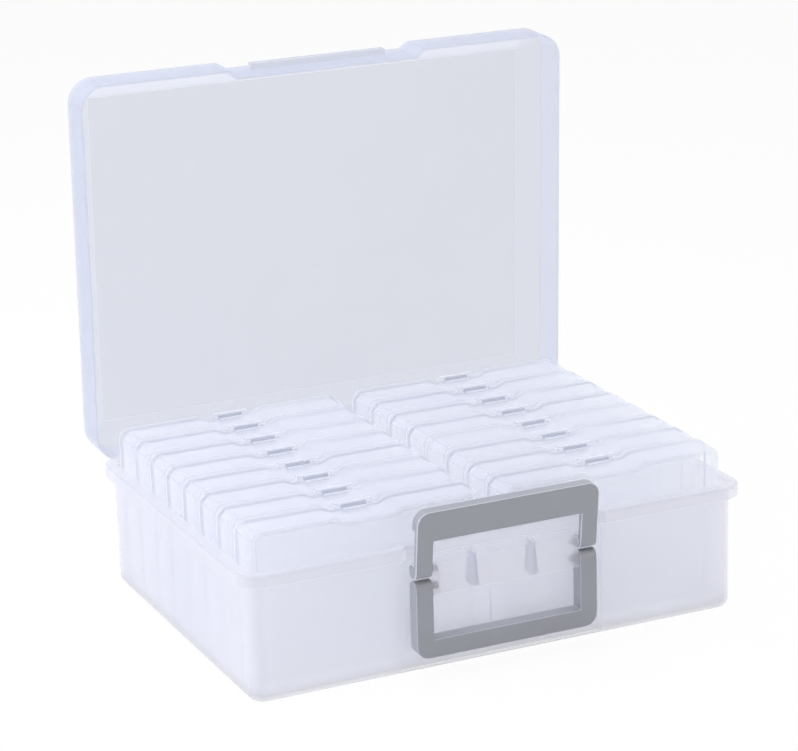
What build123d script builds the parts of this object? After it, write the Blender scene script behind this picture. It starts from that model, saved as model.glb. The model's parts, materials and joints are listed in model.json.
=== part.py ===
"""Compartment storage box: a clear tub with a hinged lid, a latch and carry handle, and sixteen inner cases.

Millimetres, +Z up, front towards -Y. The origin is the centre of the tub's underside.
The lid stands open as the box is shown, so it is drawn on a plane tilted about its hinge.
"""

import os
from math import atan2, degrees

from build123d import *

os.makedirs("parts", exist_ok=True)

# Tub
rim_length = 375.0
rim_depth = 277.0
rim_height = 91.5
rim_corner = 18.0
rim_overhang = 6.5
rim_plate = 2.0
rim_edge = 1.0
skirt_height = 8.5
skirt_wall = 1.8
tub_wall = 2.0
tub_floor = 2.2
bottom_round = 6.5
bottom_inside = 2.4

# The set-back in the middle of the front, where the handle lies
notch_margin = 8.2
notch_slope = 6.0
notch_depth = 5.6
wall_setback = 4.5

# Outer lid
lid_height = 39.5
lid_straight = 28.0
lid_wall = 1.8
lid_slope_run = 17.0
lid_seat_gap = 0.3
lid_open_angle = 88.0

# Lid hinge: pins in notches of the rear rim, knuckles on the lid's rear edge
hinge_in = 1.7
hinge_below = 1.9
hinge_pin = 1.6
hinge_play = 0.05
hinge_knuckle = 3.0
hinge_width = 30.0
hinge_side_gap = 0.4
hinge_spacing = 210.0
hinge_cheek = 4.0

# Catch on the lid's set-back front
catch_end_gap = 2.5
catch_height = 23.5
catch_inset = 1.2
catch_ridge = 1.8
catch_rise = 4.2
catch_shelf = 2.0

# Handle halves
handle_half = 67.3
handle_width = 12.3
handle_depth = 10.6
handle_corner = 9.0
handle_wall = 2.0
pivot_mid_drop = 23.5
pivot_spacing = 12.0
stud = 2.5
stud_length = 5.5
stud_play = 0.05
latch_bar = 21.5
latch_plate = 4.0
latch_gap = 0.3
latch_flange = 2.3
latch_side = 14.0
latch_lip = 1.6
latch_lip_gap = 1.5
latch_lean = 7.0
carry_ground_gap = 13.0
carry_bar = 12.5

# Hinge block between the legs of the handle
block_gap = 0.7
block_wall = 1.8
block_margin = 5.5
block_ahead = 3.8
block_rib = 1.6
block_rib_rise = 4.4
block_rib_half = 22.0

# Inner cases
case_columns = 2
case_rows = 8
case_gap = 0.4
case_seat_gap = 0.2
case_front_gap = 0.5
case_rear_gap = 4.2
case_end_gap = 2.6
case_centre_gap = 13.0
case_headroom = 3.6
case_wall = 1.4
case_top_corner = 8.0
case_foot_corner = 3.0
case_edge = 2.5
cover_depth = 6.8
dip_half = 24.0
dip_floor_half = 17.5
dip_depth = 3.1
tab_half = 13.5
tab_set_back = 1.6
slot_half = 9.0
slot_width = 1.3
slot_play = 0.3
tongue_drop = 2.0

# Locating ribs on the tub floor, between the two columns
floor_rib_wall = 1.6
floor_rib_height = 10.0
floor_rib_gap = 0.7

# Tub and rim places that follow from these sizes
rim_front = -rim_depth / 2
rim_rear = rim_depth / 2
wall_length = rim_length - 2 * rim_overhang
wall_depth = rim_depth - 2 * rim_overhang
wall_corner = rim_corner - rim_overhang
wall_notch_front = -wall_depth / 2 + wall_setback
mouth_z = rim_height + lid_seat_gap
lid_top = mouth_z + lid_height
hinge_y = rim_rear - hinge_in
hinge_z = rim_height - hinge_below

# Catch, hook and handle places
ridge_top = mouth_z + catch_height
ridge_front = rim_front + catch_inset
ridge_back = ridge_front + catch_ridge
shelf_top = ridge_top - catch_rise
leg_inner = handle_half - handle_width
catch_half = leg_inner - catch_end_gap
notch_half = handle_half + notch_margin
handle_front = ridge_front - latch_gap - latch_plate
pivot_y = handle_front + handle_depth / 2
latch_pivot_z = rim_height - pivot_mid_drop + pivot_spacing / 2
carry_pivot_z = latch_pivot_z - pivot_spacing
latch_top_z = ridge_top + latch_gap + latch_flange

# Case places: the cases share out the tub's inside
inner_half_length = wall_length / 2 - tub_wall
inner_rear = wall_depth / 2 - tub_wall
case_length = inner_half_length - case_centre_gap / 2 - case_end_gap
column_offset = (case_centre_gap + case_length) / 2
case_front = wall_notch_front + tub_wall + case_front_gap
case_pitch = (inner_rear - case_rear_gap - case_front + case_gap) / case_rows
case_depth = case_pitch - case_gap
tray_depth = case_depth - cover_depth
case_foot = tub_floor + case_seat_gap
case_top = mouth_z + lid_straight - case_headroom
dip_floor_z = case_top - dip_depth


def set_back(grow):
    """Edges of the handle's set-back: sloped ends, carried on past the front of the rim."""
    with BuildLine() as step:
        Polyline(
            (-notch_half - notch_slope - grow, rim_front - notch_depth),
            (-notch_half + notch_slope - grow, rim_front + notch_depth + grow),
            (notch_half - notch_slope + grow, rim_front + notch_depth + grow),
            (notch_half + notch_slope + grow, rim_front - notch_depth),
            close=True,
        )
    return step.edges()


def notched_outline(inset):
    """The rounded rectangle of the rim, with the handle's set-back in its front edge, shrunk by inset."""
    RectangleRounded(rim_length, rim_depth, rim_corner)
    make_face(set_back(0), mode=Mode.SUBTRACT)
    if inset > 0:
        offset(amount=-inset, mode=Mode.REPLACE)


def front_step(inset):
    """Step the front wall back behind the handle."""
    with BuildSketch(Plane.XY) as step:
        with Locations((0, wall_notch_front + inset - wall_depth / 2)):
            Rectangle(2 * (notch_half + inset), wall_depth)
    extrude(step.sketch, amount=2 * rim_height, mode=Mode.SUBTRACT)


# Tub
with BuildPart() as storage_tub:
    with BuildSketch(Plane.XY):
        RectangleRounded(wall_length, wall_depth, wall_corner)
    extrude(amount=rim_height)
    fillet(storage_tub.faces().sort_by(Axis.Z)[0].edges(), bottom_round)
    front_step(0)
    # rim: a flat plate with a turned-down skirt
    with BuildSketch(Plane.XY.offset(rim_height)):
        notched_outline(0)
    extrude(amount=-rim_plate)
    with BuildSketch(Plane.XY.offset(rim_height - rim_plate)):
        notched_outline(0)
        with BuildSketch(mode=Mode.PRIVATE) as skirt_inside:
            notched_outline(skirt_wall)
        add(skirt_inside.sketch, mode=Mode.SUBTRACT)
    extrude(amount=-(skirt_height - rim_plate))
    # hinge cheeks fill the rim beside each hinge notch
    for side in (-1, 1):
        with BuildSketch(Plane.XY.offset(rim_height)):
            with Locations((side * hinge_spacing / 2, rim_rear - rim_overhang / 2)):
                Rectangle(hinge_width + 2 * hinge_side_gap + 2 * hinge_cheek, rim_overhang)
        extrude(amount=-skirt_height)
    # hollow, with the same step in the front wall
    with BuildPart(mode=Mode.PRIVATE) as hollow:
        with BuildSketch(Plane.XY.offset(tub_floor)):
            RectangleRounded(wall_length - 2 * tub_wall, wall_depth - 2 * tub_wall, wall_corner - tub_wall)
        extrude(amount=rim_height)
        chamfer(hollow.faces().sort_by(Axis.Z)[0].edges(), bottom_inside)
        front_step(tub_wall)
    add(hollow.part, mode=Mode.SUBTRACT)
    # soften the rim's outer top edge, which the lid turns over
    rim_edges = storage_tub.faces().filter_by(Axis.Z).sort_by(Axis.Z)[-1].outer_wire().edges()
    chamfer(rim_edges, rim_edge)
    # hinge notches and their pins
    for side in (-1, 1):
        with Locations((side * hinge_spacing / 2, rim_rear, rim_height)):
            Box(
                hinge_width + 2 * hinge_side_gap,
                2 * (hinge_in + hinge_knuckle + lid_seat_gap),
                2 * skirt_height,
                mode=Mode.SUBTRACT,
            )
        with BuildSketch(Plane.YZ.offset(side * hinge_spacing / 2)):
            with Locations((hinge_y, hinge_z)):
                Circle(hinge_pin)
        extrude(amount=hinge_width / 2 + hinge_side_gap + hinge_cheek / 2, both=True)
    # floor ribs that keep the two columns of cases apart
    rib_place = column_offset - case_length / 2 - floor_rib_gap - floor_rib_wall / 2
    for side in (-1, 1):
        with Locations((side * rib_place, 0, tub_floor + floor_rib_height / 2)):
            Box(floor_rib_wall, wall_depth - 4 * wall_corner, floor_rib_height)
storage_tub.part.label = "storage_tub"
export_step(storage_tub.part, "parts/storage_tub.step")

# Hinge block on the set-back wall: front plate, top plate, end bosses with stud bores, and ribs
with BuildPart() as hinge_block:
    block_top = latch_pivot_z + block_margin
    block_bottom = carry_pivot_z - block_margin
    block_middle = (block_top + block_bottom) / 2
    block_half = leg_inner - block_gap
    block_face = pivot_y - block_ahead
    block_reach = wall_notch_front - block_face
    with BuildSketch(Plane.YZ.offset(-block_half)):
        with BuildLine():
            Polyline(
                (wall_notch_front, block_top),
                (block_face, block_top),
                (block_face, block_bottom),
                (block_face + block_wall, block_bottom),
                (block_face + block_wall, block_top - block_wall),
                (wall_notch_front, block_top - block_wall),
                close=True,
            )
        make_face()
    extrude(amount=2 * block_half)
    for side in (-1, 1):
        with Locations((side * (block_half - stud_length / 2), block_face + block_reach / 2, block_middle)):
            Box(stud_length, block_reach, block_top - block_bottom)
        with BuildSketch(Plane.YZ.offset(side * block_rib_half - block_rib / 2)):
            with BuildLine():
                Polyline(
                    (wall_notch_front, block_bottom),
                    (block_face, block_bottom),
                    (block_face, block_top),
                    (wall_notch_front, block_top + block_rib_rise),
                    close=True,
                )
            make_face()
        extrude(amount=block_rib)
        for height in (latch_pivot_z, carry_pivot_z):
            with BuildSketch(Plane.YZ.offset(side * block_half)):
                with Locations((pivot_y, height)):
                    Circle(stud + stud_play)
            extrude(amount=-side * stud_length, mode=Mode.SUBTRACT)
hinge_block.part.label = "hinge_block"
export_step(hinge_block.part, "parts/hinge_block.step")


def lid_block(inset, drop):
    """The lid's closed outer form, or its hollow: straight walls, a broad sloped edge and a flat panel."""
    straight = lid_straight - inset / 2
    slope = degrees(atan2(lid_slope_run, lid_height - lid_straight))
    with BuildSketch(Plane.XY.offset(mouth_z)) as mouth:
        RectangleRounded(rim_length - 2 * inset, rim_depth - 2 * inset, rim_corner - inset)
    extrude(mouth.sketch, amount=straight)
    with BuildSketch(Plane.XY.offset(mouth_z + straight)) as shoulder:
        add(mouth.sketch_local)
    extrude(shoulder.sketch, amount=lid_height - drop - straight, taper=slope)


def lid_notch(grow):
    """Cut the set-back for the handle into the lid's front, or step the hollow back with it."""
    with BuildSketch(Plane.XY.offset(mouth_z)) as step:
        make_face(set_back(grow))
    extrude(step.sketch, amount=lid_height, mode=Mode.SUBTRACT)


# Outer lid, drawn closed and then swung open about its hinge
with BuildPart() as lid_closed:
    lid_block(0, 0)
    lid_notch(0)
    with BuildPart(mode=Mode.PRIVATE) as lid_hollow:
        lid_block(lid_wall, lid_wall)
        lid_notch(lid_wall)
    add(lid_hollow.part, mode=Mode.SUBTRACT)
    # catch: a shelf on the set-back front with an upstanding ridge for the latch's hook
    shelf_back = rim_front + notch_depth + lid_wall / 2
    with BuildSketch(Plane.YZ.offset(-catch_half)):
        with BuildLine():
            Polyline(
                (shelf_back, shelf_top),
                (ridge_back, shelf_top),
                (ridge_back, ridge_top),
                (ridge_front, ridge_top),
                (ridge_front, shelf_top - catch_shelf),
                (shelf_back, shelf_top - catch_shelf),
                close=True,
            )
        make_face()
    extrude(amount=2 * catch_half)
    # hinge knuckles on the rear edge, bored to ride on the tub's pins
    for side in (-1, 1):
        knuckle_plane = Plane.YZ.offset(side * hinge_spacing / 2)
        with BuildSketch(knuckle_plane):
            with Locations((hinge_y, hinge_z)):
                Circle(hinge_knuckle)
            with Locations((rim_rear - lid_wall / 2, mouth_z)):
                Rectangle(lid_wall, 2 * (mouth_z - hinge_z))
        extrude(amount=hinge_width / 2, both=True)
        with BuildSketch(knuckle_plane):
            with Locations((hinge_y, hinge_z)):
                Circle(hinge_pin + hinge_play)
        extrude(amount=hinge_width, both=True, mode=Mode.SUBTRACT)

hinge_axis = Axis((0, hinge_y, hinge_z), (1, 0, 0))
with BuildPart() as outer_lid:
    add(lid_closed.part.rotate(hinge_axis, -lid_open_angle))
outer_lid.part.label = "outer_lid"
export_step(outer_lid.part, "parts/outer_lid.step")


def leg_pivots(pivot_z):
    """Round bosses at the tops of both legs, with studs that point inwards into the hinge block."""
    for side in (-1, 1):
        leg_plane = Plane.YZ.offset(side * (handle_half - handle_width / 2))
        with BuildSketch(leg_plane) as boss:
            with Locations((pivot_y, pivot_z)):
                Circle(handle_depth / 2)
        extrude(boss.sketch, amount=handle_width / 2, both=True)
        with BuildSketch(leg_plane) as pin:
            with Locations((pivot_y, pivot_z)):
                Circle(stud)
        extrude(pin.sketch, amount=-side * (handle_width / 2 + stud_length))


# Latch half of the handle, drawn upright and then leant outwards about its studs
with BuildPart() as latch_upright:
    with BuildSketch(Plane.XZ.offset(-handle_front)) as arch:
        with BuildLine():
            Polyline(
                (-handle_half, latch_pivot_z),
                (-handle_half, latch_top_z),
                (handle_half, latch_top_z),
                (handle_half, latch_pivot_z),
                (leg_inner, latch_pivot_z),
                (leg_inner, latch_top_z - latch_bar),
                (-leg_inner, latch_top_z - latch_bar),
                (-leg_inner, latch_pivot_z),
                close=True,
            )
        make_face()
        fillet(arch.vertices().group_by(Axis.Y)[-1], handle_corner)
    extrude(amount=-latch_plate)
    # the top edge turns back as a hook and runs a little way down the sides
    with BuildSketch(Plane.XZ.offset(-handle_front)) as edge_band:
        with Locations((0, latch_top_z - latch_side)):
            Rectangle(2 * handle_half, 2 * latch_side)
        fillet(edge_band.vertices(), handle_corner)
        with BuildSketch(mode=Mode.PRIVATE) as edge_inside:
            with Locations((0, latch_top_z - latch_side)):
                Rectangle(2 * (handle_half - latch_flange), 2 * (latch_side - latch_flange))
            fillet(edge_inside.vertices(), handle_corner - latch_flange)
        add(edge_inside.sketch, mode=Mode.SUBTRACT)
        with Locations((0, latch_top_z - 2 * latch_side)):
            Rectangle(2 * handle_half, 2 * latch_side, mode=Mode.SUBTRACT)
    lip_front = ridge_back + latch_gap
    lip_back = lip_front + latch_lip
    extrude(amount=handle_front - lip_back)
    with BuildSketch(Plane.YZ.offset(latch_lip - catch_half)):
        with BuildLine():
            Polyline(
                (lip_front, latch_top_z - latch_flange / 2),
                (lip_back, latch_top_z - latch_flange / 2),
                (lip_back, shelf_top + latch_lip_gap),
                (lip_front, shelf_top + latch_lip_gap),
                close=True,
            )
        make_face()
    extrude(amount=2 * (catch_half - latch_lip))
    leg_pivots(latch_pivot_z)

latch_axis = Axis((0, pivot_y, latch_pivot_z), (1, 0, 0))
with BuildPart() as latch_handle:
    add(latch_upright.part.rotate(latch_axis, latch_lean))
latch_handle.part.label = "latch_handle"
export_step(latch_handle.part, "parts/latch_handle.step")

# Carry half of the handle, a hanging hollow-backed loop
with BuildPart() as carry_handle:
    with BuildSketch(Plane.XZ.offset(-handle_front)) as loop:
        with BuildLine():
            Polyline(
                (-handle_half, carry_pivot_z),
                (-handle_half, carry_ground_gap),
                (handle_half, carry_ground_gap),
                (handle_half, carry_pivot_z),
                (leg_inner, carry_pivot_z),
                (leg_inner, carry_ground_gap + carry_bar),
                (-leg_inner, carry_ground_gap + carry_bar),
                (-leg_inner, carry_pivot_z),
                close=True,
            )
        make_face()
        fillet(loop.vertices().group_by(Axis.Y)[0], handle_corner)
    extrude(amount=-handle_depth)
    with BuildSketch(Plane.XZ.offset(-handle_front - handle_wall)):
        add(loop.sketch_local)
        offset(amount=-handle_wall, mode=Mode.REPLACE)
    extrude(amount=-handle_depth, mode=Mode.SUBTRACT)
    leg_pivots(carry_pivot_z)
carry_handle.part.label = "carry_handle"
export_step(carry_handle.part, "parts/carry_handle.step")


def case_outline(centre_x, inset):
    """Front view of one case, or of its hollow, with the shallow dip in the top edge."""
    half = case_length / 2 - inset
    foot, top, dip = case_foot + inset, case_top - inset, dip_floor_z - inset
    with BuildLine() as front_view:
        Polyline(
            (centre_x - half, foot),
            (centre_x + half, foot),
            (centre_x + half, top),
            (centre_x + dip_half, top),
            (centre_x + dip_floor_half, dip),
            (centre_x - dip_floor_half, dip),
            (centre_x - dip_half, top),
            (centre_x - half, top),
            close=True,
        )
    outline = make_face(front_view.edges())
    chamfer(outline.vertices().group_by(Axis.Y)[0], case_foot_corner - inset / 2)
    top_points = outline.vertices().group_by(Axis.Y)[-1].sort_by(Axis.X)
    top_corners = [top_points[0], top_points[-1]]
    if inset > 0:
        chamfer(top_corners, (case_top_corner + inset) / 2)
    else:
        fillet(top_corners, case_top_corner)


case_number = 0
for column in range(case_columns):
    middle = (2 * column - 1) * column_offset
    for row in range(case_rows):
        case_number += 1
        parting = case_front + row * case_pitch + tray_depth

        # tray, the deep front half, open towards the back, with a tongue that snaps into the cover's slot
        with BuildPart() as tray:
            with BuildSketch(Plane.XZ.offset(-parting)):
                case_outline(middle, 0)
            extrude(amount=tray_depth)
            chamfer(tray.faces().sort_by(Axis.Y)[0].edges(), case_edge)
            with BuildSketch(Plane.XZ.offset(-parting)):
                case_outline(middle, case_wall)
            extrude(amount=tray_depth - case_wall, mode=Mode.SUBTRACT)
            with Locations((middle, parting, dip_floor_z - tongue_drop)):
                Box(
                    2 * (slot_half - slot_play),
                    2 * (slot_width - slot_play),
                    2 * (tongue_drop - slot_play),
                )
        tray.part.label = f"case_{case_number:02d}_tray"
        export_step(tray.part, f"parts/{tray.part.label}.step")

        # cover, the shallow rear half, with a thumb tab in the dip and the slot in front of it
        with BuildPart() as cover:
            with BuildSketch(Plane.XZ.offset(-parting)):
                case_outline(middle, 0)
            extrude(amount=-cover_depth)
            with BuildSketch(Plane.XZ.offset(-parting)):
                case_outline(middle, case_wall)
            extrude(amount=-(cover_depth - case_wall), mode=Mode.SUBTRACT)
            tab_depth = cover_depth - tab_set_back
            tab_middle = parting + tab_set_back + tab_depth / 2
            with Locations((middle, tab_middle, dip_floor_z + dip_depth / 2 - case_wall / 4)):
                Box(2 * tab_half, tab_depth, dip_depth + case_wall / 2)
            with Locations((middle, parting, dip_floor_z)):
                Box(2 * slot_half, 2 * slot_width, 4 * case_wall, mode=Mode.SUBTRACT)
        cover.part.label = f"case_{case_number:02d}_cover"
        export_step(cover.part, f"parts/{cover.part.label}.step")
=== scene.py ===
"""Looks of a compartment storage box: frosted clear plastic with a grey handle in two halves."""

import json
from math import radians

import bmesh
import bpy
from bpy.props import FloatProperty, FloatVectorProperty, PointerProperty, StringProperty
from mathutils import Matrix, Vector


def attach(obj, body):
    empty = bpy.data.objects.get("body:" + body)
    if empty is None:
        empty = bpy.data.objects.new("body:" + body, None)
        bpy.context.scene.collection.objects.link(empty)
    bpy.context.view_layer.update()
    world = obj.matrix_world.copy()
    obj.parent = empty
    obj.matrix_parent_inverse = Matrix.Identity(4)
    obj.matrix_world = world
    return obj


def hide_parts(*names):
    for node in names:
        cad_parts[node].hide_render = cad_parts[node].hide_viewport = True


bl_info = {
    "name": "Compartment Storage Box",
    "version": (1, 0, 0),
    "blender": (4, 5, 0),
    "location": "View3D > Sidebar > Storage Box",
    "description": "Builds a clear storage box with a hinged lid, a grey handle and clamshell inner cases",
    "category": "Add Mesh",
}

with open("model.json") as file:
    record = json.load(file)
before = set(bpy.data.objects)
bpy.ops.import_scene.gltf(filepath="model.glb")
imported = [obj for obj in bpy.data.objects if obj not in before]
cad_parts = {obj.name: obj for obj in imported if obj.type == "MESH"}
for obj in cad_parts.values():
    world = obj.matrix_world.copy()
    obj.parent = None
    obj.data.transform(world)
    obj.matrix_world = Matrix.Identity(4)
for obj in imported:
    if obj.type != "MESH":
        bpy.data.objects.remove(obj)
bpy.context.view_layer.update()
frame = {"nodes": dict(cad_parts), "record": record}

CASES = sorted(name.removesuffix("_tray") for name in frame["nodes"] if name.endswith("_tray"))
BODY_OF = {node: body for body, nodes in frame["record"]["behaviour"]["bodies"].items() for node in nodes}

# Lengths are metres, unless a name ends in MM.

# In a CAD mesh, points nearer than this are one, facets flatter than this are one face, and edges
# sharper than this are rounded.
WELD = 0.000002
FLAT_ANGLE = radians(0.5)
SHARP_ANGLE = radians(32)

# order of the materials on a moulded piece, whose plain faces have the first; the others carry painted
# shade, a painted highlight and the painted shade of the lid's straight walls
PAINTED_SHADE, PAINTED_HIGHLIGHT, PAINTED_SHADE_WALL = 1, 2, 3

# By how much, and over what depth, a case's ends and top draw in towards its front and its rear,
# and where it is cut so that it can bend there.
FRONT_DRAW = {
    "end": (0.0055, 0.016),
    "top": (0.0, 0.0024),
    "cuts": (0.0008, 0.0025, 0.005, 0.008, 0.012, 0.016),
}
REAR_DRAW = {
    "end": (0.0026, 0.0045),
    "top": (0.0012, 0.0024),
    "cuts": (0.0005, 0.0014, 0.0024, 0.0045),
}
# how near to a case's end or top it starts to draw in, and over what length that grows to the full
END_ZONE, END_GROWTH = 0.014, 0.012
TOP_ZONE, TOP_GROWTH = 0.012, 0.008

# the dip in a case's top edge
DIP_DEPTH = 0.0031
# the thumb tab in the dip: its half length, how far behind the parting line its front wall lies
# at least and at most, and where its top begins
TAB_HALF = 0.0135
TAB_FRONT_FROM, TAB_FRONT_TO = 0.001, 0.003
TAB_TOP_FROM = 0.0015
# the catch slot in the tab's front wall: its half length, its height over the dip, its depth
SLOT_HALF = 0.009
SLOT_FOOT, SLOT_TOP = 0.0003, 0.0019
SLOT_SINK = 0.0012
# the tray's tongue behind the parting line, and the lip on the tray in front of the slot
TONGUE = 0.001
LIP_FRONT, LIP_REAR = 0.0021, 0.0009
LIP_FOOT, LIP_TOP = 0.0003, 0.0007
# margins that tell a face on one side of a line from a face on the other side
FINE_MARGIN, MARGIN = 0.0001, 0.0005

# the hinge block's two ribs: how far off the middle they stand, their half width at the foot, the
# share of it that is left at the top, and how far they stay inside the block's own sides
RIB_PLACE, RIB_HALF, RIB_TAPER = 0.022, 0.0028, 0.35
RIB_FRONT, RIB_REAR, RIB_FOOT, RIB_TOP = 0.0022, 0.0004, 0.0004, 0.006

# milky flow marks, and the painted shade that makes the foot of the tub's walls warmer and darker, with
# its strength
FLOW_MM = 70
FOOT_SHADE_HEIGHT, FOOT_SHADE_STRENGTH = 0.012, 0.55
# how deep a moulded surface's grain is
GRAIN_DEPTH = 0.0001
# A plastic skin looks denser towards a glancing angle, up to DENSEST, by the power DENSE_POWER of
# the angle. It keeps the share UNSEEN_SHARE of that for shadows and bounced light, and hands the
# share MILKY_SHARE of the light through.
DENSEST, DENSE_POWER = 0.95, 4.0
UNSEEN_SHARE = 0.15
MILKY_SHARE = 0.45

# the width of cloudy marks in the grey plastic, and of its grain
CLOUD_MM = 25
SATIN_MM = 0.6

# the studio: half the floor's side, the width of its paper's mottle, and how much of the paper the
# camera sees as plain white
FLOOR_HALF = 6.0
PAPER_MM = 40
PAPER_WHITE = 0.93
# light from all around, as the plastic gets it
AMBIENT = 0.42
# name, place, side, watts and colour of each softbox, and the point at which they all aim
SOFTBOXES = (
    ("softbox_left", (-1.9, 0.3, 1.0), 1.6, 25, "#EEF0FF"),
    ("softbox_right", (0.9, -1.05, 0.45), 0.6, 2.0, "#FFF8F0"),
    ("softbox_top", (-0.2, 0.3, 2.1), 1.8, 29, "#EEF0FF"),
)
SOFTBOX_AIM = (0, 0, 0.12)
# a line of sight crosses up to this many clear skins, and light turns up to this many times
CLEAR_SKINS, LIGHT_TURNS = 128, 10

# the photograph's width in pixels, and a film's in millimetres
PICTURE_WIDTH = 798
FILM_WIDTH_MM = 36.0
NEAREST_VIEW = 0.05


def linear(code):
    """Turn an sRGB hex code into the linear RGBA that shader sockets take."""
    channels = [int(code[i : i + 2], 16) / 255 for i in (1, 3, 5)]
    return [c / 12.92 if c <= 0.04045 else ((c + 0.055) / 1.055) ** 2.4 for c in channels] + [1.0]


def add_node(tree, kind, links=None, **settings):
    """Add one shader node: settings name its properties or sockets, links maps its sockets to outputs."""
    made = tree.nodes.new(kind)
    for name, value in settings.items():
        if hasattr(made, name):
            setattr(made, name, value)
        else:
            made.inputs[name.replace("_", " ")].default_value = value
    for name, source in (links or {}).items():
        tree.links.new(source, made.inputs[name])
    return made


def new_material(name):
    """An empty node material and its node tree."""
    material = bpy.data.materials.new(name)
    material.use_nodes = True
    material.node_tree.nodes.clear()
    return material, material.node_tree


def dress(obj, *materials):
    """Give a new object its materials, in the order of its faces' material numbers."""
    for material in materials:
        obj.data.materials.append(material)


def span(form, axis):
    """Smallest and largest place of a form along one axis."""
    places = [vert.co[axis] for vert in form.verts]
    return min(places), max(places)


def cut(form, place, normal, faces=None):
    """Cut new edges into a form, or only into some of its faces, along a plane."""
    if faces is None:
        parts = form.verts[:] + form.edges[:] + form.faces[:]
    else:
        parts = list(dict.fromkeys(part for face in faces for part in (*face.verts, *face.edges, face)))
    bmesh.ops.bisect_plane(form, geom=parts, dist=WELD, plane_co=place, plane_no=normal)


def bar(form, low, high, taper=1.0):
    """Add a bar between two corners, its width along X falling to the share taper at its top."""
    centre = (Vector(low) + Vector(high)) / 2
    size = Vector(high) - Vector(low)
    made = bmesh.ops.create_cube(form, size=1.0)["verts"]
    for vert in made:
        narrow = taper if vert.co.z > 0 else 1.0
        vert.co = centre + Vector((vert.co.x * size.x * narrow, vert.co.y * size.y, vert.co.z * size.z))
    return made


def colour_faces(verts, number):
    """Give every face at some vertices the material with this number."""
    for face in {face for vert in verts for face in vert.link_faces}:
        face.material_index = number


def moulded_piece(node, edge_round, materials, picks_painted_highlight, shape=None):
    """A finished piece in a CAD node's place, its sharp edges rounded as a mould leaves them.

    A rounded edge whose normal the given test takes gets a painted highlight, and any other gets painted
    shade.
    """
    form = bmesh.new()
    form.from_mesh(frame["nodes"][node].data)
    bmesh.ops.remove_doubles(form, verts=form.verts, dist=WELD)
    bmesh.ops.dissolve_limit(form, angle_limit=FLAT_ANGLE, verts=form.verts, edges=form.edges)
    if shape is not None:
        shape(form)
    form.normal_update()
    corners = [edge for edge in form.edges if edge.is_manifold and edge.calc_face_angle() > SHARP_ANGLE]
    rounded = bmesh.ops.bevel(
        form,
        geom=corners,
        offset=edge_round,
        offset_type="OFFSET",
        affect="EDGES",
        segments=2,
        profile=0.5,
        material=-1,
        clamp_overlap=True,
    )
    form.normal_update()
    for face in form.faces:
        face.smooth = True
    # painted highlight on the rounded edges that the test takes, painted shade on the rest
    for face in rounded["faces"]:
        face.material_index = PAINTED_HIGHLIGHT if picks_painted_highlight(face.normal) else PAINTED_SHADE
    mesh = bpy.data.meshes.new(node + "_moulded")
    form.to_mesh(mesh)
    form.free()
    mesh.set_sharp_from_angle(angle=SHARP_ANGLE)
    piece = bpy.data.objects.new(node + "_moulded", mesh)
    bpy.context.scene.collection.objects.link(piece)
    dress(piece, *materials)
    # keeps broad faces flat in the light while round corners stay smooth
    flatten = piece.modifiers.new("flatten", "WEIGHTED_NORMAL")
    flatten.keep_sharp = True
    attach(piece, BODY_OF[node])
    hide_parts(node)
    return piece


def skirt_foot(normal):
    """Take the tub's lower edges towards the front or the left, which get a painted highlight."""
    faces_down, faces_front, faces_left = normal.z < -0.3, normal.y < -0.25, normal.x < -0.25
    return faces_down and (faces_front or faces_left)


def lid_front(normal):
    """Take the edges of the open lid that face the front, which get a painted highlight."""
    return normal.y < -0.7


def handle_crest(normal):
    """Take the handle's edges that face up or to the left, towards the softboxes, which get a painted
    highlight.
    """
    faces_up, faces_left = normal.z > 0.3, normal.x < -0.3
    return faces_up or faces_left


def tray_shoulder(normal):
    """Take the upper front edge of a tray, which gets a painted highlight."""
    faces_up, faces_front = normal.z > 0.7, normal.y < -0.25
    return faces_up and faces_front


def no_edge(normal):
    """Take no edge: all of a cover's rounded edges get painted shade."""
    return False


def drawn_in(depth, amount, reach):
    """How far an elliptic rounding draws a wall in at some depth from its end."""
    left = max(0.0, 1 - depth / reach)
    return amount * (1 - (1 - left * left) ** 0.5)


def grown(distance, zone, growth):
    """Share from 0 at a zone's edge to 1, which it reaches over the length growth."""
    return min(1.0, max(0.0, (zone - distance) / growth))


def draw_in_case(form, end, inwards, draw):
    """Draw a case's ends and top edge in towards its front or rear face, as its round corners do."""
    (left, right), top = span(form, 0), span(form, 2)[1]
    middle, half = (left + right) / 2, (right - left) / 2
    for station in draw["cuts"]:
        cut(form, (0, end + inwards * station, 0), (0, 1, 0))
    for vert in form.verts:
        depth = (vert.co.y - end) * inwards
        side = 1 if vert.co.x > middle else -1
        near_end = grown(half - abs(vert.co.x - middle), END_ZONE, END_GROWTH)
        near_top = grown(top - vert.co.z, TOP_ZONE, TOP_GROWTH)
        vert.co.x -= side * near_end * drawn_in(depth, *draw["end"])
        vert.co.z -= near_top * drawn_in(depth, *draw["top"])


def shape_tray(form):
    """Round a tray's front corners, add the lip in front of the slot with a painted highlight, and give
    what lies under it painted shade.
    """
    front, parting = span(form, 1)[0], span(form, 1)[1] - TONGUE
    (left, right), top = span(form, 0), span(form, 2)[1]
    middle = (left + right) / 2
    draw_in_case(form, front, 1, FRONT_DRAW)
    dip = top - DIP_DEPTH
    lip = bar(
        form,
        (middle - SLOT_HALF, parting - LIP_FRONT, dip - LIP_FOOT),
        (middle + SLOT_HALF, parting - LIP_REAR, dip + LIP_TOP),
    )
    # the lip gets a painted highlight
    colour_faces(lip, PAINTED_HIGHLIGHT)
    # painted shade on the faces at the parting line under the slot
    for face in form.faces:
        centre = face.calc_center_median()
        at_parting = centre.y > parting - MARGIN and centre.z < dip - FINE_MARGIN
        if at_parting and abs(centre.x - middle) < SLOT_HALF:
            face.material_index = PAINTED_SHADE


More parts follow.
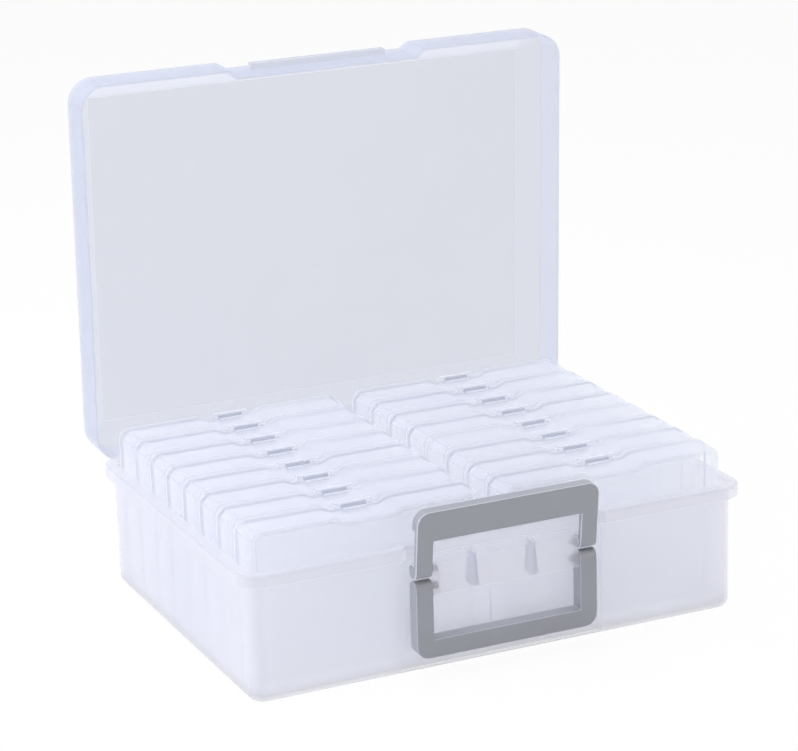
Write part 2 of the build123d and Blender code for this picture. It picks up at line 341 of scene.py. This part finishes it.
def tab_front(form, parting, above):
    """Faces of a thumb tab's front wall with their middle above some height."""
    found = []
    for face in form.faces:
        centre = face.calc_center_median()
        behind = parting + TAB_FRONT_FROM < centre.y < parting + TAB_FRONT_TO
        if face.normal.y < -0.9 and behind and centre.z > above:
            found.append(face)
    return found


def shape_cover(form):
    """Round a cover's rear corners, give its thumb tab's top a painted highlight and sink the slot, its
    walls in painted shade, into the tab's front.
    """
    parting, rear = span(form, 1)
    (left, right), top = span(form, 0), span(form, 2)[1]
    middle = (left + right) / 2
    dip = top - DIP_DEPTH
    front = tab_front(form, parting, dip)
    for place, normal in (
        ((middle - SLOT_HALF, 0, 0), (1, 0, 0)),
        ((middle + SLOT_HALF, 0, 0), (1, 0, 0)),
        ((0, 0, dip + SLOT_TOP), (0, 0, 1)),
        ((0, 0, dip + SLOT_FOOT), (0, 0, 1)),
    ):
        cut(form, place, normal, front)
        front = tab_front(form, parting, dip - 2 * FINE_MARGIN)
    slot = [
        face
        for face in front
        if abs(face.calc_center_median().x - middle) < SLOT_HALF
        and dip + SLOT_FOOT < face.calc_center_median().z < dip + SLOT_TOP
    ]
    sunk = bmesh.ops.extrude_face_region(form, geom=slot)["geom"]
    moved = [part for part in sunk if isinstance(part, bmesh.types.BMVert)]
    bmesh.ops.translate(form, verts=moved, vec=(0, SLOT_SINK, 0))
    bmesh.ops.delete(form, geom=slot, context="FACES")
    # painted shade on the slot's walls
    colour_faces(moved, PAINTED_SHADE)
    # painted highlight on the thumb tab's top
    for face in form.faces:
        centre = face.calc_center_median()
        on_top = centre.z > top - FINE_MARGIN and centre.y > parting + TAB_TOP_FROM
        if on_top and abs(centre.x - middle) < TAB_HALF:
            face.material_index = PAINTED_HIGHLIGHT
    draw_in_case(form, rear, -1, REAR_DRAW)


def shape_lid(form):
    """Mark the lid's straight walls, which are looked along, for painted shade darker than its panel."""
    for face in form.faces:
        if abs(face.normal.y) < 0.3:
            face.material_index = PAINTED_SHADE_WALL


def shape_hinge_block(form):
    """Widen the block's two ribs towards their feet, as their draft does, and give them painted shade."""
    (left, right), (front, wall), (foot, top) = span(form, 0), span(form, 1), span(form, 2)
    for side in (-1, 1):
        place = (left + right) / 2 + side * RIB_PLACE
        rib = bar(
            form,
            (place - RIB_HALF, front + RIB_FRONT, foot + RIB_FOOT),
            (place + RIB_HALF, wall - RIB_REAR, top - RIB_TOP),
            RIB_TAPER,
        )
        # painted shade on the ribs
        colour_faces(rib, PAINTED_SHADE)


def frosted_plastic(name, pale, deep, haze, roughness, grain_mm, foot=None):
    """Injection-moulded clear polypropylene.

    Natural polypropylene is milky: it passes light, scatters a little of it, and looks faintly blue
    where it is thick. At a glancing angle light travels further in it, so edges look denser, as in
    glass. The mould's polish leaves a soft gloss with a very fine skin.
    """
    material, tree = new_material(name)
    place = add_node(tree, "ShaderNodeTexCoord").outputs["Object"]
    # milky flow marks where the melt ran
    flow = add_node(tree, "ShaderNodeTexNoise", {"Vector": place}, Scale=1000 / FLOW_MM, Detail=2.0)
    tint = add_node(tree, "ShaderNodeMix", {"Factor": flow.outputs["Fac"]}, data_type="RGBA")
    tint.inputs[6].default_value = linear(pale)
    tint.inputs[7].default_value = linear(deep)
    if foot is not None:
        # painted shade near the floor: the walls' foot is warmer and darker
        height = add_node(tree, "ShaderNodeSeparateXYZ", {"Vector": place})
        low = add_node(
            tree,
            "ShaderNodeMapRange",
            {"Value": height.outputs["Z"]},
            From_Min=FOOT_SHADE_HEIGHT,
            From_Max=0.0,
            To_Max=FOOT_SHADE_STRENGTH,
        )
        tint = add_node(
            tree,
            "ShaderNodeMix",
            {"Factor": low.outputs["Result"], 6: tint.outputs[2]},
            data_type="RGBA",
        )
        tint.inputs[7].default_value = linear(foot)
    # the mould's skin, drawn coarser than the real 0.1 mm so that it shows
    skin = add_node(tree, "ShaderNodeTexNoise", {"Vector": place}, Scale=1000 / grain_mm, Detail=1.0)
    relief = add_node(
        tree,
        "ShaderNodeBump",
        {"Height": skin.outputs["Fac"]},
        Strength=0.04,
        Distance=GRAIN_DEPTH,
    )
    gloss = add_node(
        tree,
        "ShaderNodeMapRange",
        {"Value": flow.outputs["Fac"]},
        To_Min=roughness - 0.04,
        To_Max=roughness + 0.05,
    )
    # denser towards a glancing angle
    glance = add_node(tree, "ShaderNodeLayerWeight", Blend=0.5)
    steep = add_node(tree, "ShaderNodeMath", {0: glance.outputs["Facing"]}, operation="POWER")
    steep.inputs[1].default_value = DENSE_POWER
    dense = add_node(
        tree, "ShaderNodeMapRange", {"Value": steep.outputs[0]}, To_Min=haze, To_Max=DENSEST
    )
    # light that is not looked at passes, because the milky wall hands it on
    path = add_node(tree, "ShaderNodeLightPath")
    unseen = add_node(
        tree,
        "ShaderNodeMath",
        {0: path.outputs["Is Shadow Ray"], 1: path.outputs["Is Diffuse Ray"]},
        operation="MAXIMUM",
    )
    passing = add_node(
        tree, "ShaderNodeMapRange", {"Value": unseen.outputs[0]}, To_Min=1.0, To_Max=UNSEEN_SHARE
    )
    opacity = add_node(
        tree,
        "ShaderNodeMath",
        {0: dense.outputs["Result"], 1: passing.outputs["Result"]},
        operation="MULTIPLY",
    )
    gloss_skin = add_node(
        tree,
        "ShaderNodeBsdfPrincipled",
        {
            "Base Color": tint.outputs[2],
            "Roughness": gloss.outputs["Result"],
            "Normal": relief.outputs["Normal"],
        },
        IOR=1.49,
    )
    glow = add_node(tree, "ShaderNodeBsdfTranslucent", {"Color": tint.outputs[2]})
    milky = add_node(
        tree,
        "ShaderNodeMixShader",
        {1: gloss_skin.outputs["BSDF"], 2: glow.outputs["BSDF"]},
        Fac=MILKY_SHARE,
    )
    clear = add_node(tree, "ShaderNodeBsdfTransparent")
    wall = add_node(
        tree,
        "ShaderNodeMixShader",
        {0: opacity.outputs[0], 1: clear.outputs["BSDF"], 2: milky.outputs["Shader"]},
    )
    add_node(tree, "ShaderNodeOutputMaterial", {"Surface": wall.outputs["Shader"]})
    return material


def edge_plastics(settings, piece):
    """The same polypropylene at a rounded edge, where it is polished.

    Its darker copy shows plastic seen in depth, deepened into painted shade; its lighter copy is a painted
    highlight.
    """
    deep = frosted_plastic(
        "polypropylene_" + piece + "_edge",
        settings.painted_shade_edge_pale,
        settings.painted_shade_edge_deep,
        settings.painted_shade_edge_haze,
        roughness=0.12,
        grain_mm=1.2,
    )
    lit = frosted_plastic(
        "polypropylene_" + piece + "_painted_highlight_edge",
        settings.painted_highlight_pale,
        settings.painted_highlight_deep,
        settings.painted_highlight_haze,
        roughness=0.12,
        grain_mm=1.2,
    )
    return deep, lit


def satin_grey(name, colour, shade):
    """Opaque moulded ABS, mid grey, with a fine spark-eroded skin that spreads its highlights."""
    material, tree = new_material(name)
    place = add_node(tree, "ShaderNodeTexCoord").outputs["Object"]
    cloud = add_node(tree, "ShaderNodeTexNoise", {"Vector": place}, Scale=1000 / CLOUD_MM, Detail=3.0)
    tint = add_node(tree, "ShaderNodeMix", {"Factor": cloud.outputs["Fac"]}, data_type="RGBA")
    tint.inputs[6].default_value = linear(colour)
    tint.inputs[7].default_value = linear(shade)
    # spark-eroded grain is about 0.15 mm wide, and is drawn coarser so that it shows
    skin = add_node(tree, "ShaderNodeTexNoise", {"Vector": place}, Scale=1000 / SATIN_MM, Detail=2.0)
    relief = add_node(
        tree,
        "ShaderNodeBump",
        {"Height": skin.outputs["Fac"]},
        Strength=0.12,
        Distance=GRAIN_DEPTH,
    )
    gloss = add_node(
        tree, "ShaderNodeMapRange", {"Value": skin.outputs["Fac"]}, To_Min=0.34, To_Max=0.46
    )
    # the polish over the grain gives the pale sheen on faces that are looked along
    surface = add_node(
        tree,
        "ShaderNodeBsdfPrincipled",
        {
            "Base Color": tint.outputs[2],
            "Roughness": gloss.outputs["Result"],
            "Normal": relief.outputs["Normal"],
        },
        IOR=1.53,
        Coat_Weight=0.6,
        Coat_Roughness=0.2,
    )
    add_node(tree, "ShaderNodeOutputMaterial", {"Surface": surface.outputs["BSDF"]})
    return material


class StorageBoxSettings(bpy.types.PropertyGroup):
    """Sizes and colours that change the look of the storage box, and where it is seen from."""

    tub_pale: StringProperty(
        name="Tub Colour",
        description="Pale colour of the tub, as sRGB hex",
        default="#EBEBEF",
    )
    tub_deep: StringProperty(
        name="Tub Depth",
        description="Deeper tint of the tub, as sRGB hex",
        default="#E3E3E9",
    )
    # painted shade at the foot of the tub's walls
    tub_painted_foot_shade: StringProperty(
        name="Tub Foot",
        description="Warm tint of the tub's lowest edge, as sRGB hex",
        default="#B9B7B4",
    )
    lid_pale: StringProperty(
        name="Lid Colour",
        description="Pale colour of the lid, as sRGB hex",
        default="#DDE0E7",
    )
    lid_deep: StringProperty(
        name="Lid Depth",
        description="Deeper tint of the lid, as sRGB hex",
        default="#D6DAE3",
    )
    # painted shade on the lid's straight walls: a darker copy of the lid's colours
    painted_shade_wall_pale: StringProperty(
        name="Lid Wall Colour",
        description="Pale colour of the lid's straight walls, as sRGB hex",
        default="#D3D7E3",
    )
    painted_shade_wall_deep: StringProperty(
        name="Lid Wall Depth",
        description="Deeper tint of the lid's straight walls, as sRGB hex",
        default="#CBD0DF",
    )
    case_pale: StringProperty(
        name="Case Colour",
        description="Pale colour of the inner cases, as sRGB hex",
        default="#F3F5FA",
    )
    case_deep: StringProperty(
        name="Case Depth",
        description="Deeper tint of the inner cases, as sRGB hex",
        default="#ECEFF8",
    )
    # painted shade on rounded edges, darker than the plastic seen in depth alone
    painted_shade_edge_pale: StringProperty(
        name="Edge Colour",
        description="Colour of rounded edges, where the plastic is seen in depth, as sRGB hex",
        default="#ADB3C5",
    )
    painted_shade_edge_deep: StringProperty(
        name="Edge Depth",
        description="Deeper tint of rounded edges, as sRGB hex",
        default="#A3A9BD",
    )
    # painted highlight on rounded edges
    painted_highlight_pale: StringProperty(
        name="Lit Edge Colour",
        description="Colour of rounded edges that hand light out, as sRGB hex",
        default="#FBFBFF",
    )
    painted_highlight_deep: StringProperty(
        name="Lit Edge Depth",
        description="Deeper tint of rounded edges that hand light out, as sRGB hex",
        default="#F4F5FF",
    )
    handle_grey: StringProperty(
        name="Handle Grey",
        description="Colour of the handle, as sRGB hex",
        default="#A1A3A8",
    )
    handle_shade: StringProperty(
        name="Handle Shade",
        description="Darker tint of the handle, as sRGB hex",
        default="#999BA0",
    )
    # painted highlight on the handle's edges that face up or left
    handle_painted_highlight: StringProperty(
        name="Handle Edge",
        description="Colour of the handle's lit edges, as sRGB hex",
        default="#D6D8DF",
    )
    tub_haze: FloatProperty(
        name="Tub Haze",
        description="How opaque one skin of the tub is",
        default=0.34,
        min=0.0,
        max=1.0,
        subtype="FACTOR",
    )
    lid_haze: FloatProperty(
        name="Lid Haze",
        description="How opaque one skin of the lid is",
        default=0.5,
        min=0.0,
        max=1.0,
        subtype="FACTOR",
    )
    case_haze: FloatProperty(
        name="Case Haze",
        description="How opaque one skin of an inner case is",
        default=0.22,
        min=0.0,
        max=1.0,
        subtype="FACTOR",
    )
    painted_shade_edge_haze: FloatProperty(
        name="Edge Haze",
        description="How opaque a rounded edge is",
        default=0.6,
        min=0.0,
        max=1.0,
        subtype="FACTOR",
    )
    painted_highlight_haze: FloatProperty(
        name="Lit Edge Haze",
        description="How opaque a lit edge is",
        default=0.6,
        min=0.0,
        max=1.0,
        subtype="FACTOR",
    )
    thick_round: FloatProperty(
        name="Thick Edges",
        description="Rounding of the sharp edges of the tub, lid and handle",
        default=0.0006,
        subtype="DISTANCE",
        unit="LENGTH",
    )
    thin_round: FloatProperty(
        name="Thin Edges",
        description="Rounding of the sharp edges of the inner cases and the hinge block",
        default=0.0005,
        subtype="DISTANCE",
        unit="LENGTH",
    )
    camera_place: FloatVectorProperty(
        name="Camera Place",
        description="Where the camera stands",
        default=(-0.80978, -1.75261, 0.75556),
        subtype="TRANSLATION",
        unit="LENGTH",
    )
    camera_yaw: FloatProperty(
        name="Camera Yaw",
        description="Turn of the view to the right",
        default=0.4278,
        subtype="ANGLE",
        unit="ROTATION",
    )
    camera_pitch: FloatProperty(
        name="Camera Pitch",
        description="Tilt of the view, down is negative",
        default=-0.2980,
        subtype="ANGLE",
        unit="ROTATION",
    )
    camera_roll: FloatProperty(
        name="Camera Roll",
        description="Roll of the view",
        default=-0.0291,
        subtype="ANGLE",
        unit="ROTATION",
    )
    camera_focal: FloatProperty(
        name="Focal Length",
        description="Focal length in pixels of the picture",
        default=2895.2,
        subtype="PIXEL",
    )


class STORAGEBOX_OT_camera(bpy.types.Operator):
    """Place the camera where the picture was taken from"""

    bl_idname = "storage_box.camera"
    bl_label = "Camera"

    def execute(self, context):
        settings = context.scene.storage_box
        data = bpy.data.cameras.new("camera")
        data.sensor_width = FILM_WIDTH_MM
        data.lens = settings.camera_focal * FILM_WIDTH_MM / PICTURE_WIDTH
        data.clip_start = NEAREST_VIEW
        camera = bpy.data.objects.new("camera", data)
        turn = Matrix.Rotation(-settings.camera_yaw, 4, "Z")
        tilt = Matrix.Rotation(radians(90) + settings.camera_pitch, 4, "X")
        roll = Matrix.Rotation(settings.camera_roll, 4, "Z")
        camera.matrix_world = Matrix.Translation(settings.camera_place) @ turn @ tilt @ roll
        context.scene.collection.objects.link(camera)
        context.scene.camera = camera
        return {"FINISHED"}


class STORAGEBOX_OT_studio(bpy.types.Operator):
    """Lay the pale floor, light it softly and set the white surroundings"""

    bl_idname = "storage_box.studio"
    bl_label = "Studio"

    def execute(self, context):
        self.lay_floor(context)
        self.surround(context)
        for name, place, side, watts, colour in SOFTBOXES:
            lamp = bpy.data.lights.new(name, "AREA")
            lamp.shape = "SQUARE"
            lamp.size = side
            lamp.energy = watts
            lamp.color = linear(colour)[:3]
            light = bpy.data.objects.new(name, lamp)
            light.location = place
            aim = Vector(SOFTBOX_AIM) - light.location
            light.rotation_euler = aim.to_track_quat("-Z", "Y").to_euler()
            context.scene.collection.objects.link(light)
        context.scene.view_settings.view_transform = "Standard"
        context.scene.cycles.transparent_max_bounces = CLEAR_SKINS
        context.scene.cycles.max_bounces = LIGHT_TURNS
        return {"FINISHED"}

    def lay_floor(self, context):
        """Matt white paper: the camera sees it nearly white, with the box's soft shadow left in."""
        material, tree = new_material("matt_white_paper")
        place = add_node(tree, "ShaderNodeTexCoord").outputs["Object"]
        mottle = add_node(
            tree, "ShaderNodeTexNoise", {"Vector": place}, Scale=1000 / PAPER_MM, Detail=2.0
        )
        tint = add_node(tree, "ShaderNodeMix", {"Factor": mottle.outputs["Fac"]}, data_type="RGBA")
        tint.inputs[6].default_value = linear("#F8F8F8")
        tint.inputs[7].default_value = linear("#F5F5F5")
        paper = add_node(tree, "ShaderNodeBsdfDiffuse", {"Color": tint.outputs[2]})
        white = add_node(tree, "ShaderNodeEmission", Strength=1.0)
        seen = add_node(tree, "ShaderNodeLightPath")
        share = add_node(tree, "ShaderNodeMath", {0: seen.outputs["Is Camera Ray"]}, operation="MULTIPLY")
        share.inputs[1].default_value = PAPER_WHITE
        blend = add_node(
            tree,
            "ShaderNodeMixShader",
            {0: share.outputs[0], 1: paper.outputs[0], 2: white.outputs[0]},
        )
        add_node(tree, "ShaderNodeOutputMaterial", {"Surface": blend.outputs[0]})
        form = bmesh.new()
        bmesh.ops.create_grid(form, x_segments=2, y_segments=2, size=FLOOR_HALF)
        mesh = bpy.data.meshes.new("floor")
        form.to_mesh(mesh)
        form.free()
        floor = bpy.data.objects.new("floor", mesh)
        context.scene.collection.objects.link(floor)
        dress(floor, material)

    def surround(self, context):
        """White all around: full where it is seen directly, mirrored or through the plastic."""
        world = bpy.data.worlds.new("studio")
        context.scene.world = world
        world.use_nodes = True
        tree = world.node_tree
        tree.nodes.clear()
        path = add_node(tree, "ShaderNodeLightPath")
        direct = add_node(
            tree,
            "ShaderNodeMath",
            {0: path.outputs["Is Camera Ray"], 1: path.outputs["Is Glossy Ray"]},
            operation="MAXIMUM",
        )
        plain = add_node(
            tree,
            "ShaderNodeMath",
            {0: direct.outputs[0], 1: path.outputs["Is Transmission Ray"]},
            operation="MAXIMUM",
        )
        ambient = add_node(tree, "ShaderNodeBackground", Color=linear("#FFFFFF"), Strength=AMBIENT)
        white = add_node(tree, "ShaderNodeBackground", Color=linear("#FFFFFF"), Strength=1.0)
        mixed = add_node(
            tree,
            "ShaderNodeMixShader",
            {0: plain.outputs[0], 1: ambient.outputs[0], 2: white.outputs[0]},
        )
        add_node(tree, "ShaderNodeOutputWorld", {"Surface": mixed.outputs[0]})


class STORAGEBOX_OT_tub(bpy.types.Operator):
    """Finish the tub with its hinge block in frosted polypropylene"""

    bl_idname = "storage_box.tub"
    bl_label = "Tub"

    def execute(self, context):
        settings = context.scene.storage_box
        clear = frosted_plastic(
            "frosted_polypropylene_tub",
            settings.tub_pale,
            settings.tub_deep,
            settings.tub_haze,
            roughness=0.2,
            grain_mm=1.2,
            foot=settings.tub_painted_foot_shade,
        )
        plastics = (clear, *edge_plastics(settings, "tub"))
        moulded_piece("storage_tub", settings.thick_round, plastics, skirt_foot)
        moulded_piece("hinge_block", settings.thin_round, plastics, skirt_foot, shape_hinge_block)
        return {"FINISHED"}


class STORAGEBOX_OT_lid(bpy.types.Operator):
    """Finish the outer lid in frosted polypropylene"""

    bl_idname = "storage_box.lid"
    bl_label = "Lid"

    def execute(self, context):
        settings = context.scene.storage_box
        clear = frosted_plastic(
            "frosted_polypropylene_lid",
            settings.lid_pale,
            settings.lid_deep,
            settings.lid_haze,
            roughness=0.24,
            grain_mm=1.2,
        )
        # a darker copy for the straight walls, as painted shade
        wall = frosted_plastic(
            "frosted_polypropylene_lid_painted_shade_wall",
            settings.painted_shade_wall_pale,
            settings.painted_shade_wall_deep,
            settings.lid_haze,
            roughness=0.24,
            grain_mm=1.2,
        )
        plastics = (clear, *edge_plastics(settings, "lid"), wall)
        moulded_piece("outer_lid", settings.thick_round, plastics, lid_front, shape_lid)
        return {"FINISHED"}


class STORAGEBOX_OT_handle(bpy.types.Operator):
    """Finish both halves of the handle in satin grey plastic"""

    bl_idname = "storage_box.handle"
    bl_label = "Handle"

    def execute(self, context):
        settings = context.scene.storage_box
        grey = satin_grey("satin_grey_abs", settings.handle_grey, settings.handle_shade)
        # a lighter copy as the painted highlight on the handle's edges that face up or left
        lit = satin_grey("satin_grey_abs_painted_highlight", settings.handle_painted_highlight, settings.handle_painted_highlight)
        for node in ("latch_handle", "carry_handle"):
            moulded_piece(node, settings.thick_round, (grey, grey, lit), handle_crest)
        return {"FINISHED"}


class STORAGEBOX_OT_cases(bpy.types.Operator):
    """Finish the trays and covers of the inner cases"""

    bl_idname = "storage_box.cases"
    bl_label = "Inner Cases"

    def execute(self, context):
        settings = context.scene.storage_box
        clear = frosted_plastic(
            "clear_polypropylene",
            settings.case_pale,
            settings.case_deep,
            settings.case_haze,
            roughness=0.16,
            grain_mm=0.9,
        )
        plastics = (clear, *edge_plastics(settings, "case"))
        for name in CASES:
            moulded_piece(name + "_tray", settings.thin_round, plastics, tray_shoulder, shape_tray)
            moulded_piece(name + "_cover", settings.thin_round, plastics, no_edge, shape_cover)
        return {"FINISHED"}


class STORAGEBOX_PT_panel(bpy.types.Panel):
    """Sidebar panel that lists the settings and the pieces of the storage box"""

    bl_label = "Storage Box"
    bl_idname = "STORAGEBOX_PT_panel"
    bl_space_type = "VIEW_3D"
    bl_region_type = "UI"
    bl_category = "Storage Box"

    def draw(self, context):
        settings = context.scene.storage_box
        for name in StorageBoxSettings.__annotations__:
            self.layout.prop(settings, name)
        for step in STEPS:
            self.layout.operator("storage_box." + step)


STEPS = ("camera", "studio", "tub", "lid", "handle", "cases")
CLASSES = (
    StorageBoxSettings,
    STORAGEBOX_OT_camera,
    STORAGEBOX_OT_studio,
    STORAGEBOX_OT_tub,
    STORAGEBOX_OT_lid,
    STORAGEBOX_OT_handle,
    STORAGEBOX_OT_cases,
    STORAGEBOX_PT_panel,
)


def register():
    for cls in CLASSES:
        bpy.utils.register_class(cls)
    bpy.types.Scene.storage_box = PointerProperty(type=StorageBoxSettings)


def unregister():
    del bpy.types.Scene.storage_box
    for cls in reversed(CLASSES):
        bpy.utils.unregister_class(cls)


def main():
    register()
    for step in STEPS:
        getattr(bpy.ops.storage_box, step)()


if __name__ == "__main__":
    main()
